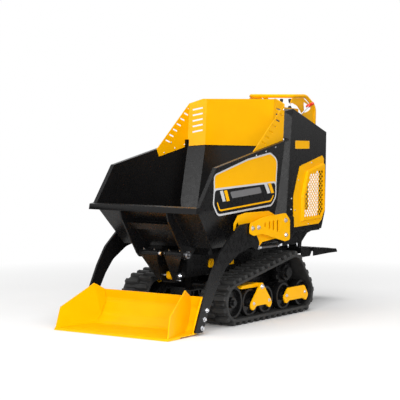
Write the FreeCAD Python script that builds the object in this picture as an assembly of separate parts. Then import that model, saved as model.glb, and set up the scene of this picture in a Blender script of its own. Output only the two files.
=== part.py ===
import FreeCAD, Part
import math
import os

from FreeCAD import Vector

# Crawler carrier with tipping skip and self-loading bucket.
# Millimetres. +X is the machine's left, +Y its rear, +Z up, the ground is Z = 0.
# Everything is drawn in the drawing frame and moved by SHIFT_Y when it is saved,
# so that the saved frame starts at the middle of the footprint.
LIP_Y, STEP_REAR = -905.0, 1150.0
SHIFT_Y = -(LIP_Y + STEP_REAR) / 2

# Tilting and lifting pivots (Y, Z).
SKIP_PIVOT = (-418.0, 399.0)
TIP_BASE = (-340.0, 270.0)
TIP_EYE = (-60.0, 394.0)
LOADER_PIVOT = (-117.0, 534.0)
LIFT_BASE = (225.0, 440.0)
LIFT_EYE = (-62.0, 440.0)
STEP_PIVOT = (845.0, 335.0)

# Undercarriage. The lug's top and foot are shares of the pitch, each side of its middle.
TRACK_IN, TRACK_WIDTH = 180.0, 180.0
TRACK_OUT = TRACK_IN + TRACK_WIDTH
LUG_PITCH, LUG_HEIGHT, BELT = 60.0, 20.0, 16.0
LUG_TOP, LUG_FOOT = 0.22, 0.29
IDLER, IDLER_R = (-215.0, 127.0), 91.0
REAR_BEND, REAR_BEND_R = (508.0, 113.0), 77.0
SPROCKET, SPROCKET_BEND_R = (393.0, 238.0), 92.0
ROLLER_Z, ROLLER_R = 112.0, 76.0
ROLLERS_Y = (-47.0, 116.0, 310.0, 508.0)
SHAFTS_Y = (-30.0, 240.0)

FRAME_FOOT = 160.0

# Faces across one track, from its inner edge outwards.
FRAME_IN, FRAME_OUT = TRACK_IN + 5, TRACK_IN + 31
WHEEL_IN, WHEEL_OUT = TRACK_IN + 35, TRACK_IN + 151
GROOVE_IN, GROOVE_OUT = TRACK_IN + 75, TRACK_IN + 109
BOGIE_IN, BOGIE_OUT = TRACK_IN + 166, TRACK_IN + 176
RUN_GAP = 14.0

# The chassis carries the skip's floor on two cross bars, a little under it.
RAIL_TOP = 428.0

# Skip.
SKIP_WALL, SKIP_RIM = 4.0, 20.0
CHAMFER_SIDE_Y, CHAMFER_REAR_X = 311.0, 240.0
SKIP_REAR = 358.0
SKIP_HALF = 338.0
OPENING_FRONT = ((-600.0, 655.0), (-424.0, 880.0))
OPENING_TOP = ((-424.0, 880.0), (283.0, 1010.0))

# Loader.
ARM_IN, ARM_OUT = 380.0, 392.0
BRACKET_IN, BRACKET_OUT = 362.0, 405.0
BRACKET_PLATE = 6.0
BRACKET_SLOT = 20.0
CYLINDER_X = 338.0

# Tie-down eyes and controls.
LASHING_Y = (-100.0, 105.0)
LASHING_Z, LASHING_HOLE_R = 330.0, 9.0
LEVERS_X = (-49.0, 0.0, 45.0, 105.0)

# Housing; the roof falls from its front to its rear corner (Y, Z).
HOUSING_HALF = 280.0
SHEET = 3.0
ROOF_FRONT, ROOF_REAR = (499.0, 1188.0), (880.0, 1044.0)

# Handlebar.
BAR_HALF, BAR_R, BAR_Z = 150.0, 11.5, 1261.0
BAR_FRONT, BAR_REAR, BAR_END = 676.0, 955.0, 1060.0
BAR_SHEET = 5.0
CONSOLE_REAR_Z = 1184.0

os.makedirs("parts", exist_ok=True)


def save(name, shape, *more):
    """Writes one node; like pieces that don't touch share it."""
    moved = Part.Compound([shape.copy()] + [m.copy() for m in more]) if more else shape.copy()
    moved.translate(Vector(0, SHIFT_Y, 0))
    solids = moved.Solids
    print(name, "solids", len(solids), "valid", moved.isValid(), "volume", round(moved.Volume))
    moved.exportStep("parts/" + name + ".step")


def mirrored(shape):
    return shape.mirror(Vector(0, 0, 0), Vector(1, 0, 0))


def both(name, shape):
    save(name + "_l", shape)
    save(name + "_r", mirrored(shape))


def pair(name, shape):
    save(name, shape, mirrored(shape))


def fuse(shapes):
    first = shapes[0]
    return first.fuse(list(shapes[1:])).removeSplitter() if len(shapes) > 1 else first


def cut(shape, tools):
    return shape.cut(list(tools))


def box(x0, x1, y0, y1, z0, z1):
    return Part.makeBox(x1 - x0, y1 - y0, z1 - z0, Vector(x0, y0, z0))


def rod_x(yz, r, x0, x1):
    return Part.makeCylinder(r, x1 - x0, Vector(x0, yz[0], yz[1]), Vector(1, 0, 0))


def corner_points(points):
    """Splits (u, v[, r]) corners into tangent points; sharp corners give one point."""
    out = []
    n = len(points)
    for i, p in enumerate(points):
        r = p[2] if len(p) > 2 else 0.0
        if r <= 0:
            out.append(((p[0], p[1]), None, (p[0], p[1])))
            continue
        a = points[i - 1]
        b = points[(i + 1) % n]
        ux, uy = a[0] - p[0], a[1] - p[1]
        vx, vy = b[0] - p[0], b[1] - p[1]
        lu, lv = math.hypot(ux, uy), math.hypot(vx, vy)
        ux, uy, vx, vy = ux / lu, uy / lu, vx / lv, vy / lv
        half = math.acos(max(-1.0, min(1.0, ux * vx + uy * vy))) / 2
        t = r / math.tan(half)
        mx, my = ux + vx, uy + vy
        lm = math.hypot(mx, my)
        reach = r / math.sin(half) - r
        start = (p[0] + ux * t, p[1] + uy * t)
        mid = (p[0] + mx / lm * reach, p[1] + my / lm * reach)
        end = (p[0] + vx * t, p[1] + vy * t)
        out.append((start, mid, end))
    return out


def outline(points, place):
    """A closed wire from corners (u, v[, radius]) put in space by place(u, v)."""
    corners = corner_points(points)
    edges = []
    for i, (start, mid, end) in enumerate(corners):
        if mid is not None:
            edges.append(Part.Arc(place(*start), place(*mid), place(*end)).toShape())
        following = corners[(i + 1) % len(corners)][0]
        a, b = place(*end), place(*following)
        if (b - a).Length > 1e-6:
            edges.append(Part.makeLine(a, b))
    return Part.Wire(edges)


def plate_x(points, x0, x1):
    """A plate whose outline lies in Y and Z, from x0 to x1."""
    face = Part.Face(outline(points, lambda u, v: Vector(x0, u, v)))
    return face.extrude(Vector(x1 - x0, 0, 0))


def plate_y(points, y0, y1):
    """A plate whose outline lies in X and Z, from y0 to y1."""
    face = Part.Face(outline(points, lambda u, v: Vector(u, y0, v)))
    return face.extrude(Vector(0, y1 - y0, 0))


def plate_z(points, z0, z1):
    """A plate whose outline lies in X and Y, from z0 to z1."""
    face = Part.Face(outline(points, lambda u, v: Vector(u, v, z0)))
    return face.extrude(Vector(0, 0, z1 - z0))


def pipe(points, r):
    """A round bar along 3-D corners (x, y, z[, bend radius])."""
    edges = []
    last = Vector(*points[0][:3])
    for i in range(1, len(points)):
        here = Vector(*points[i][:3])
        bend = points[i][3] if len(points[i]) > 3 and i < len(points) - 1 else 0.0
        if bend > 0:
            after = Vector(*points[i + 1][:3])
            u = (Vector(*points[i - 1][:3]) - here).normalize()
            v = (after - here).normalize()
            half = math.acos(max(-1.0, min(1.0, u.dot(v)))) / 2
            t = bend / math.tan(half)
            m = (u + v).normalize() * (bend / math.sin(half) - bend)
            edges.append(Part.makeLine(last, here + u * t))
            edges.append(Part.Arc(here + u * t, here + m, here + v * t).toShape())
            last = here + v * t
        else:
            edges.append(Part.makeLine(last, here))
            last = here
    path = Part.Wire(edges)
    start = Vector(*points[0][:3])
    direction = Vector(*points[1][:3]) - start
    ring = Part.Wire([Part.makeCircle(r, start, direction)])
    return path.makePipeShell([ring], True, False)


def half_space_tool(point, normal, size=6000.0):
    """A big block lying outside the plane."""
    n = Vector(*normal).normalize()
    block = Part.makeBox(size, size, size, Vector(-size / 2, -size / 2, 0))
    turn = FreeCAD.Rotation(Vector(0, 0, 1), n)
    block.Placement = FreeCAD.Placement(Vector(*point), turn)
    return block


def hull(planes, grow=0.0, start=None):
    """The block inside every (point, outward normal), each moved outwards by grow."""
    body = start or box(-600, 600, -900, 1000, 0, 1500)
    for point, normal in planes:
        n = Vector(*normal).normalize()
        body = body.cut(half_space_tool(Vector(*point) + n * grow, normal))
    return body


def line_plane(a, b, side):
    """A plane along X through two (Y, Z) points; side +1 or -1 picks the outward normal."""
    dy, dz = b[0] - a[0], b[1] - a[1]
    return ((0, a[0], a[1]), (0, -dz * side, dy * side))


# Tracks: a hull loop round three bends, with the lugs in its outline.
def loop_segments(bends):
    """Arcs and lines round bends ((y, z), r), anticlockwise, as (kind, data) in order."""
    out = []
    n = len(bends)
    tangents = []
    for i in range(n):
        (a, ra), (b, rb) = bends[i], bends[(i + 1) % n]
        dy, dz = b[0] - a[0], b[1] - a[1]
        d = math.hypot(dy, dz)
        base = math.atan2(dz, dy)
        offset = math.acos((ra - rb) / d)
        angle = base - offset
        nv = (math.cos(angle), math.sin(angle))
        tangents.append(((a[0] + nv[0] * ra, a[1] + nv[1] * ra),
                         (b[0] + nv[0] * rb, b[1] + nv[1] * rb), angle))
    for i in range(n):
        start, end, angle = tangents[i]
        out.append(("line", start, end))
        centre, r = bends[(i + 1) % n]
        after = tangents[(i + 1) % n][2]
        while after < angle:
            after += 2 * math.pi
        out.append(("arc", centre, r, angle, after))
    return out


def segment_length(s):
    if s[0] == "line":
        return math.hypot(s[2][0] - s[1][0], s[2][1] - s[1][1])
    return s[2] * (s[4] - s[3])


def along(segments, distance):
    """The point and the outward normal at a distance round the loop."""
    total = sum(segment_length(s) for s in segments)
    distance %= total
    for s in segments:
        length = segment_length(s)
        if distance <= length:
            break
        distance -= length
    if s[0] == "line":
        t = distance / length
        y = s[1][0] + (s[2][0] - s[1][0]) * t
        z = s[1][1] + (s[2][1] - s[1][1]) * t
        return (y, z), ((s[2][1] - s[1][1]) / length, -(s[2][0] - s[1][0]) / length)
    angle = s[3] + distance / s[2]
    c = (math.cos(angle), math.sin(angle))
    return (s[1][0] + c[0] * s[2], s[1][1] + c[1] * s[2]), c


def loop_wire(segments, x):
    edges = []
    for s in segments:
        if s[0] == "line":
            edges.append(Part.makeLine(Vector(x, *s[1]), Vector(x, *s[2])))
        else:
            at = [s[3], (s[3] + s[4]) / 2, s[4]]
            pts = [Vector(x, s[1][0] + s[2] * math.cos(a), s[1][1] + s[2] * math.sin(a)) for a in at]
            edges.append(Part.Arc(*pts).toShape())
    return Part.Wire(edges)


def make_track():
    inner = loop_segments([(IDLER, IDLER_R), (REAR_BEND, REAR_BEND_R), (SPROCKET, SPROCKET_BEND_R)])
    outer = loop_segments([(IDLER, IDLER_R + BELT), (REAR_BEND, REAR_BEND_R + BELT),
                           (SPROCKET, SPROCKET_BEND_R + BELT)])
    total = sum(segment_length(s) for s in outer)
    count = int(round(total / LUG_PITCH))
    pitch = total / count
    middle = (TRACK_IN + TRACK_OUT) / 2
    halves = []
    for x0, x1, phase in ((TRACK_IN, middle, 0.0), (middle, TRACK_OUT, 0.5)):
        points = []
        for i in range(count):
            base = (i + phase) * pitch
            for step, height in ((-LUG_FOOT, 0.0), (-LUG_TOP, LUG_HEIGHT), (LUG_TOP, LUG_HEIGHT), (LUG_FOOT, 0.0),
                                 (0.5, 0.0)):
                (y, z), (ny, nz) = along(outer, base + step * pitch)
                points.append(Vector(x0, y + ny * height, z + nz * height))
        points.append(points[0])
        band = Part.Face(Part.makePolygon(points)).extrude(Vector(x1 - x0, 0, 0))
        hole = Part.Face(loop_wire(inner, x0)).extrude(Vector(x1 - x0, 0, 0))
        halves.append(band.cut(hole))
    return halves[0].fuse(halves[1])


def wheel(centre, r, x0, x1, rim, recess, hub_r):
    """A wheel along X with a recess in each face round its hub."""
    body = rod_x(centre, r, x0, x1)
    for a, b in ((x0, x0 + recess), (x1 - recess, x1)):
        ring = rod_x(centre, r - rim, a, b).cut(rod_x(centre, hub_r, a, b))
        body = body.cut(ring)
    return body


def make_rollers():
    """Four rollers in two bogies, with the bars that carry them inside the track."""
    parts = []
    bar_in = FRAME_OUT - 8
    for y in ROLLERS_Y:
        body = wheel((y, ROLLER_Z), ROLLER_R, WHEEL_IN, WHEEL_OUT, 12, 22, 26)
        groove = rod_x((y, ROLLER_Z), ROLLER_R + 1, GROOVE_IN, GROOVE_OUT)
        parts.append(body.cut(groove.cut(rod_x((y, ROLLER_Z), 40, GROOVE_IN, GROOVE_OUT))))
        parts.append(rod_x((y, ROLLER_Z), 12, bar_in, BOGIE_IN))
    for first, second in ((0, 1), (2, 3)):
        y0, y1 = ROLLERS_Y[first], ROLLERS_Y[second]
        parts.append(plate_x([(y0 - 30, ROLLER_Z - 26, 20), (y1 + 30, ROLLER_Z - 26, 20),
                              (y1 + 30, ROLLER_Z + 26, 20), (y0 - 30, ROLLER_Z + 26, 20)], bar_in, FRAME_OUT))
    parts.append(box(FRAME_OUT - 10, FRAME_OUT, ROLLERS_Y[0] - 20, ROLLERS_Y[3] + 20, ROLLER_Z + 6, FRAME_FOOT))
    return fuse(parts)


def make_sprocket():
    """A toothed disc with the drive motor's hub."""
    x0, x1 = GROOVE_IN + 2, GROOVE_OUT - 6
    parts = [rod_x(SPROCKET, 70, x0, x1), rod_x(SPROCKET, 46, FRAME_IN + 16, WHEEL_OUT - 28),
             rod_x(SPROCKET, 30, WHEEL_OUT - 28, WHEEL_OUT - 12)]
    teeth = 11
    for i in range(teeth):
        tooth = Part.makeBox(x1 - x0, 26, 26, Vector(x0, -13, 62))
        tooth.rotate(Vector(0, 0, 0), Vector(1, 0, 0), 6 + 360.0 * i / teeth)
        tooth.translate(Vector(0, SPROCKET[0], SPROCKET[1]))
        parts.append(tooth)
    return fuse(parts)


def make_idler():
    """The front wheel, 1 mm short of the belt all round."""
    centre = (IDLER[0], IDLER[1] - 1.0)
    return fuse([wheel(centre, IDLER_R - 1.0, WHEEL_IN, WHEEL_OUT, 14, 24, 30),
                 rod_x(centre, 16, FRAME_OUT, WHEEL_OUT + 12)])


def upper_run(y):
    """The height of the belt's inner face over the wheels."""
    rise = SPROCKET[1] + SPROCKET_BEND_R - IDLER[1] - IDLER_R
    slope = rise / (SPROCKET[0] - IDLER[0])
    return IDLER[1] + IDLER_R + (y - IDLER[0]) * slope


def make_track_frame():
    """The plate inside a track, up to just under the belt, with the idler's fork and the motor's plate."""
    front, rear = IDLER[0] + 58, SPROCKET[0] - 54
    beam = plate_x([(front, FRAME_FOOT), (rear, FRAME_FOOT), (rear, upper_run(rear) - RUN_GAP),
                    (front + 50, upper_run(front + 50) - RUN_GAP), (front, 195)], FRAME_IN, FRAME_OUT)
    y, z = SPROCKET
    motor = plate_x([(rear - 6, FRAME_FOOT), (y + 30, FRAME_FOOT), (y + 58, z, 40), (y, z + 62, 40),
                     (rear - 6, z, 40)], FRAME_IN, FRAME_IN + 16)
    fork = plate_x([(front - 90, 100, 20), (front - 30, 100, 10), (front + 40, FRAME_FOOT), (front + 80, FRAME_FOOT),
                    (front + 80, 200, 10), (front, 195), (front - 90, 150, 20)], FRAME_IN, FRAME_OUT)
    return fuse([beam, motor, fork])


def make_bogie_plates():
    """The outer link plates: a triangle over the front pair of rollers, a bar over the rear pair."""
    a, b, c, d = ROLLERS_Y
    front = plate_x([(a + 86, 224, 17), (b + 40, 88, 26), (b + 2, 66, 17), (b - 30, 90, 26), (a + 30, 90, 26),
                     (a - 2, 66, 17), (a - 40, 88, 26)], BOGIE_IN, BOGIE_OUT)
    rear = plate_x([(c - 11, 66, 18), (c + 25, 84, 14), (d - 22, 84, 14), (d + 13, 66, 18), (d + 40, 100, 22),
                    (d - 5, 158, 20), (c + 13, 158, 20), (c - 35, 108, 20)], BOGIE_IN, BOGIE_OUT)
    return front, rear


def make_tension_arm():
    """The slanted arm over the front rollers, on the frame and on the front link plate's head."""
    a = ROLLERS_Y[0]
    x0 = WHEEL_IN + 4
    arm = plate_x([(a - 94, 194, 4), (a + 100, 190, 4), (a + 100, 214, 10), (a - 72, 211, 8)], x0, WHEEL_OUT - 2)
    return fuse([arm, box(FRAME_OUT, x0, a - 70, a + 30, 194, 205), rod_x((a + 85, 202), 13, FRAME_OUT, BOGIE_IN)])


# Chassis.
def make_chassis():
    parts = []
    for s in (-1, 1):
        lo, hi = sorted((s * 60.0, s * 100.0))
        parts.append(plate_x([(-330, 262), (760, 262), (760, 380), (30, 380), (12, RAIL_TOP), (-288, RAIL_TOP),
                              (-330, 352)], lo, hi))
        for y in SHAFTS_Y:
            parts.append(box(lo, hi, y - 35, y + 35, 155, 262))
        lo, hi = sorted((s * 200.0, s * 208.0))
        parts.append(plate_x([(262, 380), (684, 380), (684, 352), (710, 352), (716, 389, 14), (752, 417, 12),
                              (781, 437, 8), (830, 447), (830, 460), (335, 460), (335, 470), (262, 470)], lo, hi))
    for y in SHAFTS_Y:
        parts.append(rod_x((y, 185), 24, -FRAME_IN, FRAME_IN))
    parts.append(box(-208, 208, 20, 700, 380, 388))
    for y in (30.0, 215.0):
        parts.append(box(-190, 190, y, y + 40, 388, RAIL_TOP))
    parts += [box(80, 205, -278, -238, 388, RAIL_TOP), box(-205, -80, -278, -238, 388, RAIL_TOP)]
    parts.append(box(-60, 60, 684, 760, 262, 380))
    parts.append(box(-HOUSING_HALF + 10, HOUSING_HALF - 10, 352, 820, 457, 466))
    return fuse(parts)


def make_pivot_bracket():
    """Two tubes for the skip's pins, each on a side plate and a front plate that narrows to the tip pin."""
    y, z = SKIP_PIVOT
    side = [(y - 26, z, 24), (y, z + 26, 24), (y + 33, z, 18), (-290, 350), (-290, 262), (-300, 236, 12),
            (-364, 236, 18), (-386, 290, 20)]
    top, foot = Vector(0, y - 19, z - 8), Vector(0, -383, 250)
    normal = (foot - top).cross(Vector(1, 0, 0)).normalize()
    corners = [top + Vector(25, 0, 0), top + Vector(140, 0, 0), foot + Vector(58, 0, 0), foot + Vector(42, 0, 0)]
    front = Part.Face(Part.makePolygon(corners + corners[:1])).extrude(normal * BRACKET_PLATE)
    parts = [plate_x(side, 42, 52), rod_x(SKIP_PIVOT, 23, 25, 146), front, box(0, 42, -362, -300, 232, 240),
             box(52, 60, -318, -290, 262, 352)]
    parts += [mirrored(part) for part in parts]
    bores = [rod_x(SKIP_PIVOT, 13.05, 20, 160), rod_x(SKIP_PIVOT, 13.05, -160, -20), rod_x(TIP_BASE, 10, -80, 80)]
    return cut(fuse(parts), bores)


def make_tip_pin():
    return fuse([rod_x(TIP_BASE, 10, -60, 60), rod_x(TIP_BASE, 17, 52, 60), rod_x(TIP_BASE, 17, -60, -52)])


# Skip.
def skip_planes():
    lean = 0.238
    across, along_y = SKIP_REAR - CHAMFER_SIDE_Y, SKIP_HALF - CHAMFER_REAR_X
    return [
        ((SKIP_HALF, 0, 0), (1, 0, 0)),
        ((-SKIP_HALF, 0, 0), (-1, 0, 0)),
        ((SKIP_HALF, 0, 650), (212, 0, -38)),
        ((-SKIP_HALF, 0, 650), (-212, 0, -38)),
        ((0, 0, 438), (0, 0, -1)),
        line_plane((-560.0, 636.0), (-380.0, 438.0), -1),
        ((0, SKIP_REAR, 1010), (0, 1, -lean)),
        ((SKIP_HALF, CHAMFER_SIDE_Y, 1010), (across, along_y, -along_y * lean)),
        ((-SKIP_HALF, CHAMFER_SIDE_Y, 1010), (-across, along_y, -along_y * lean)),
    ]


def opening(drop=0.0):
    a = line_plane(*OPENING_FRONT, 1)
    b = line_plane(*OPENING_TOP, 1)
    out = []
    for point, normal in (a, b):
        n = Vector(*normal).normalize()
        out.append((Vector(*point) - n * drop, n))
    return out


def outward_up(planes):
    return [(p, n if Vector(*n).z > 0 else tuple(-c for c in n)) for p, n in planes]


def make_skip():
    outer = hull(outward_up(opening()), start=hull(skip_planes()))
    inner = hull(skip_planes(), grow=-SKIP_WALL, start=box(-600, 600, -900, 1000, 0, 1500))
    return outer, outer.cut(inner)


def make_rim(outer):
    wide = hull(outward_up(opening()), start=hull(skip_planes(), grow=SKIP_RIM))
    low = hull(outward_up(opening(8.0)), start=hull(skip_planes(), grow=SKIP_RIM))
    above = box(-600, 600, -900, 1000, 630, 1500)
    flange = wide.cut(low).common(above).cut(outer)
    band = plate_x([(-625, 641), (-618, 672), (-588, 676), (-556, 641)], -358, 358).cut(outer)
    keep = max(flange.Solids, key=lambda s: s.Volume)
    return keep.fuse(band).removeSplitter()


def make_ribs():
    """Two plates down the front wall to the pivot, and the channel between them."""
    side = [(-560, 637), (-380.5, 438), (-330, 438), (-330, 430), (-384, 385, 30), (-418, 361, 34),
            (-455, 399, 30), (-590, 590, 30), (-605, 637)]
    parts = [plate_x(side, 152, 161), plate_x(side, -161, -152)]
    channel = plate_x([(-508, 580), (-490, 560), (-516, 536), (-548, 572)], -152, 152)
    parts.append(channel)
    plane = hull([line_plane((-560.0, 636.0), (-380.0, 438.0), -1)], start=box(-600, 600, -900, 1000, 0, 1500))
    above = plane.common(box(-600, 600, -900, 1000, 438, 1500))
    return fuse(parts).cut([above, rod_x(SKIP_PIVOT, 13, -200, 200)])


def make_skip_pin():
    return fuse([rod_x(SKIP_PIVOT, 13, 14, 161), rod_x(SKIP_PIVOT, 20, 161, 170)])


def make_tip_lug():
    """The pair of ears under the floor that the tip cylinder's eye pushes."""
    y, z = TIP_EYE
    ear = [(y - 60, 438), (y - 24, z - 4, 22), (y, z - 26, 20), (y + 24, z - 4, 22), (y + 60, 438)]
    return fuse([plate_x(ear, 24, 32), plate_x(ear, -32, -24), box(-32, 32, y - 60, y + 60, 434, 438)])


# Guard.
def make_guard():
    """The open sheet that stands in the skip's rear corners, with slanted slots."""
    lean = 0.075
    half = SKIP_HALF - SKIP_WALL
    across, along_y = SKIP_REAR - 314.0, half - 235.0
    through = [
        ((half, 0, 0), (1, 0, 0)),
        ((-half, 0, 0), (-1, 0, 0)),
        ((0, SKIP_REAR, 1246), (0, 1, -lean)),
        ((half, 314, 1246), (across, along_y, -along_y * lean)),
        ((-half, 314, 1246), (-across, along_y, -along_y * lean)),
    ]
    front = [((0, -21, 955), (0, -265, 335)), ((0, -21, 955), (0, -35, -19)), ((0, 0, 1246), (0, 0, 1))]
    outer = hull(through + front)
    inner = hull(through, grow=-SHEET)
    below = hull(outward_up([line_plane((-424.0, 833.0), (283.0, 963.0), 1)]))
    notch = box(-400, 400, 262, 308, 900, 1004).cut(box(-half + 9, half - 9, 200, 400, 900, 1100))
    shape = outer.cut(inner).cut([below, notch])
    slots = []
    for i in range(6):
        slot = Part.makeBox(80, 44, 9, Vector(300, -22, -4.5))
        slot.rotate(Vector(0, 0, 0), Vector(1, 0, 0), -18)
        slot.translate(Vector(0, 277 - 37.5 * i, 1155 - 31 * i))
        slots += [slot, mirrored(slot)]
    for i in range(5):
        slot = Part.makeBox(62, 60, 9, Vector(-31, -30, -4.5))
        slot.rotate(Vector(0, 0, 0), Vector(0, 1, 0), 12)
        slot.rotate(Vector(0, 0, 0), Vector(0, 0, 1), -math.degrees(math.atan2(across, along_y)))
        slot.translate(Vector((half + 235) / 2, (314 + SKIP_REAR) / 2 - 5, 1186 - 33 * i))
        slots += [slot, mirrored(slot)]
    return shape.cut(slots)


# Loader.
ARM = [(-675, 15, 8), (-606, 13, 8), (-522, 158, 60), (-444, 271, 90), (-375, 342, 90), (-254, 405, 90),
       (-120, 432, 30), (-75, 412, 24), (-38, 440, 24), (-78, 500, 30), (-90, 560, 28), (-150, 566, 28),
       (-240, 562, 60), (-335, 500, 90), (-444, 420, 110), (-517, 322, 110), (-585, 203, 80), (-640, 90, 60)]


def make_arm():
    arm = plate_x(ARM, ARM_IN, ARM_OUT)
    hub = rod_x(LOADER_PIVOT, 26, BRACKET_IN + BRACKET_PLATE + 0.05, BRACKET_OUT - BRACKET_PLATE - 0.05)
    boss = rod_x(LIFT_EYE, 13, CYLINDER_X + 15, ARM_IN)
    return fuse([arm, hub, boss]).cut(rod_x(LOADER_PIVOT, 10.05, 300, 450))


def make_bracket():
    outer = plate_x([(-164, 510, 16), (-156, 566, 14), (-19, 592, 20), (213, 600, 24), (258, 560, 20), (258, 445, 16),
                     (205, 440, 10), (-37, 500, 30), (-120, 494, 30)], BRACKET_OUT - BRACKET_PLATE, BRACKET_OUT)
    inner = plate_x([(-263, 528, 4), (-264, 566, 18), (-222, 612, 16), (-140, 622, 20), (90, 618, 20), (160, 590, 16),
                     (240, 582, 16), (258, 560, 14), (258, 470, 12), (160, 457, 10), (20, 447, 6), (-2, 430, 4),
                     (-28, 430, 4), (-30, 480, 10), (-165, 492, 14), (-203, 545, 12), (-228, 578, 8), (-246, 560, 8),
                     (-250, 528, 3)], BRACKET_IN, BRACKET_IN + BRACKET_PLATE).cut(rod_x(LIFT_BASE, 8, 300, 400))
    pivot = rod_x(LOADER_PIVOT, 10, BRACKET_IN, BRACKET_OUT)
    slots = []
    for y, top, length in ((-3, 560, 26), (43, 564, 42), (84, 566, 54), (128, 567, 66)):
        half = BRACKET_SLOT / 2
        slots.append(plate_x([(y - half, top, 7), (y + half, top, 7), (y + half, top - length, 7),
                              (y - half, top - length, 7)], BRACKET_OUT - 20, BRACKET_OUT + 5))
    return fuse([outer.cut(slots), inner, pivot])


def make_loader_support():
    """The cross beam behind the skip, with the blocks that both brackets bolt to."""
    inner, outer = BRACKET_IN + BRACKET_PLATE, BRACKET_OUT - BRACKET_PLATE
    beam = box(-inner, inner, 265, 312, 470, 560)
    parts = [beam]
    for s in (-1, 1):
        lo, hi = sorted((s * inner, s * outer))
        parts.append(plate_x([(205, 424, 10), (262, 424, 10), (312, 470), (312, 575, 10), (205, 575, 10)], lo, hi))
        lo, hi = sorted((s * (CYLINDER_X - 12), s * 370.0))
        parts.append(rod_x(LIFT_BASE, 8, lo, hi))
    return fuse(parts)


def cylinder_pair(base, eye, x, barrel_r, rod_r, width, eye_r, pin_r, closed=0.8):
    """Barrel and rod of a hydraulic cylinder from the base pin to the open eye."""
    dy, dz = eye[0] - base[0], eye[1] - base[1]
    length = math.hypot(dy, dz)
    angle = math.degrees(math.atan2(dz, dy))
    reach = length * closed
    barrel = fuse([
        rod_x((0, 0), eye_r, -width / 2, width / 2),
        Part.makeCylinder(barrel_r, reach - eye_r * 0.6, Vector(0, eye_r * 0.6, 0), Vector(0, 1, 0)),
        Part.makeCylinder(barrel_r + 3, 16, Vector(0, reach - 16, 0), Vector(0, 1, 0)),
    ])
    barrel = barrel.cut([rod_x((0, 0), pin_r + 0.05, -width, width),
                         Part.makeCylinder(rod_r + 0.05, length, Vector(0, eye_r + 10, 0), Vector(0, 1, 0))])
    rod = fuse([
        rod_x((length, 0), eye_r, -width / 2, width / 2),
        Part.makeCylinder(rod_r, length - eye_r - 16 - eye_r * 0.6, Vector(0, eye_r + 16, 0), Vector(0, 1, 0)),
    ]).cut(rod_x((length, 0), pin_r + 1.0, -width, width))
    out = []
    for shape in (barrel, rod):
        shape.rotate(Vector(0, 0, 0), Vector(1, 0, 0), angle)
        shape.translate(Vector(x, base[0], base[1]))
        out.append(shape)
    return out


# Bucket.
BUCKET_PROFILE = [(-900, 8), (-640, 8, 60), (-590, 60, 60), (-556, 140, 40), (-572, 199)]


def make_bucket():
    inner = [(-572 - 5.8, 198), (-562, 140, 40), (-595, 64, 60), (-643, 14, 60), (-900, 12)]
    sheet = plate_x(BUCKET_PROFILE + inner, -380, 380)
    slope = (377 - 309) / (-898 + 644)
    def at(y, z):
        return Vector(377 + (y + 898) * slope, y, z)
    side_points = [at(-898, 8), at(-866, 122), at(-644, 236), at(-580, 203), at(-566, 140), at(-600, 60), at(-645, 10)]
    face = Part.Face(Part.makePolygon(side_points + [side_points[0]]))
    n = Vector(1, -slope, 0).normalize() * (-6.0)
    side = face.extrude(n)
    end = plate_x([(-672, 10), (-640, 8), (-598, 52), (-562, 134), (-572, 199), (-590, 196), (-640, 100)], 370, 380)
    return fuse([sheet, side, mirrored(side), end, mirrored(end)])


def make_edge():
    return plate_x([(-905, 0), (-795, 0), (-795, 8), (-899, 8)], -380, 380)


# Housing.
HOUSING_PLANES = [
    ((HOUSING_HALF, 0, 0), (1, 0, 0)),
    ((-HOUSING_HALF, 0, 0), (-1, 0, 0)),
    ((0, 0, 466), (0, 0, -1)),
    line_plane((414.0, 1142.0), (340.0, 466.0), -1),
    ((HOUSING_HALF, 484, 1142), (1, -1, 0.109)),
    ((-HOUSING_HALF, 484, 1142), (-1, -1, 0.109)),
    line_plane(ROOF_FRONT, ROOF_REAR, 1),
    line_plane((412.0, 1160.0), ROOF_FRONT, 1),
    ((0, ROOF_REAR[0], ROOF_REAR[1]), (0, 473, -12)),
    line_plane((824.0, 466.0), (868.0, 571.0), -1),
]


def fixed(planes, centre=Vector(0, 600, 800)):
    """Turns every normal outwards from a point inside."""
    out = []
    for point, normal in planes:
        n = Vector(*normal)
        if n.dot(Vector(*point) - centre) < 0:
            n = n * -1
        out.append((point, n))
    return out


def corner_facet():
    a, b, c = Vector(280, 484, 1142), Vector(280, 499, 1188), Vector(228, 430, 1166)
    return (a, (b - a).cross(c - a))


def make_housing():
    facet = corner_facet()
    far = (Vector(-280, 484, 1142), Vector(-facet[1].x, facet[1].y, facet[1].z))
    planes = fixed(HOUSING_PLANES + [facet, far])
    outer = hull(planes)
    inner = hull(planes, grow=-SHEET)
    shell = outer.cut(inner)
    side_cut = HOUSING_HALF - SHEET
    left = shell.common(box(side_cut, 400, 0, 1000, 400, 1300))
    middle = shell.common(box(-side_cut, side_cut, 0, 1000, 400, 1300))
    roof_line = hull(outward_up([line_plane((499.0, 1188.0 - 12), (880.0, 1044.0 - 12), 1),
                                 line_plane((380.0, 1137.0), (499.0, 1176.0), 1)]))
    roof = middle.cut(roof_line)
    rest = middle.common(roof_line)
    rear_window = plate_y([(-232, 500, 20), (232, 500, 20), (232, 890, 20), (-232, 890, 20)], 700, 1000)
    rear = rest.common(box(-400, 400, 700, 1000, 400, 1300)).cut(rear_window)
    front = rest.common(box(-400, 400, 0, 700, 400, 1300)).cut(box(-276, 276, 500, 700, 460, 475))
    window = [(640, 812, 10), (826, 846, 10), (826, 578, 10), (790, 536, 10), (590, 532, 10), (590, 680, 10)]
    left = left.cut(plate_x(window, 200, 400))
    return left, front, rear, roof, window


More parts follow.
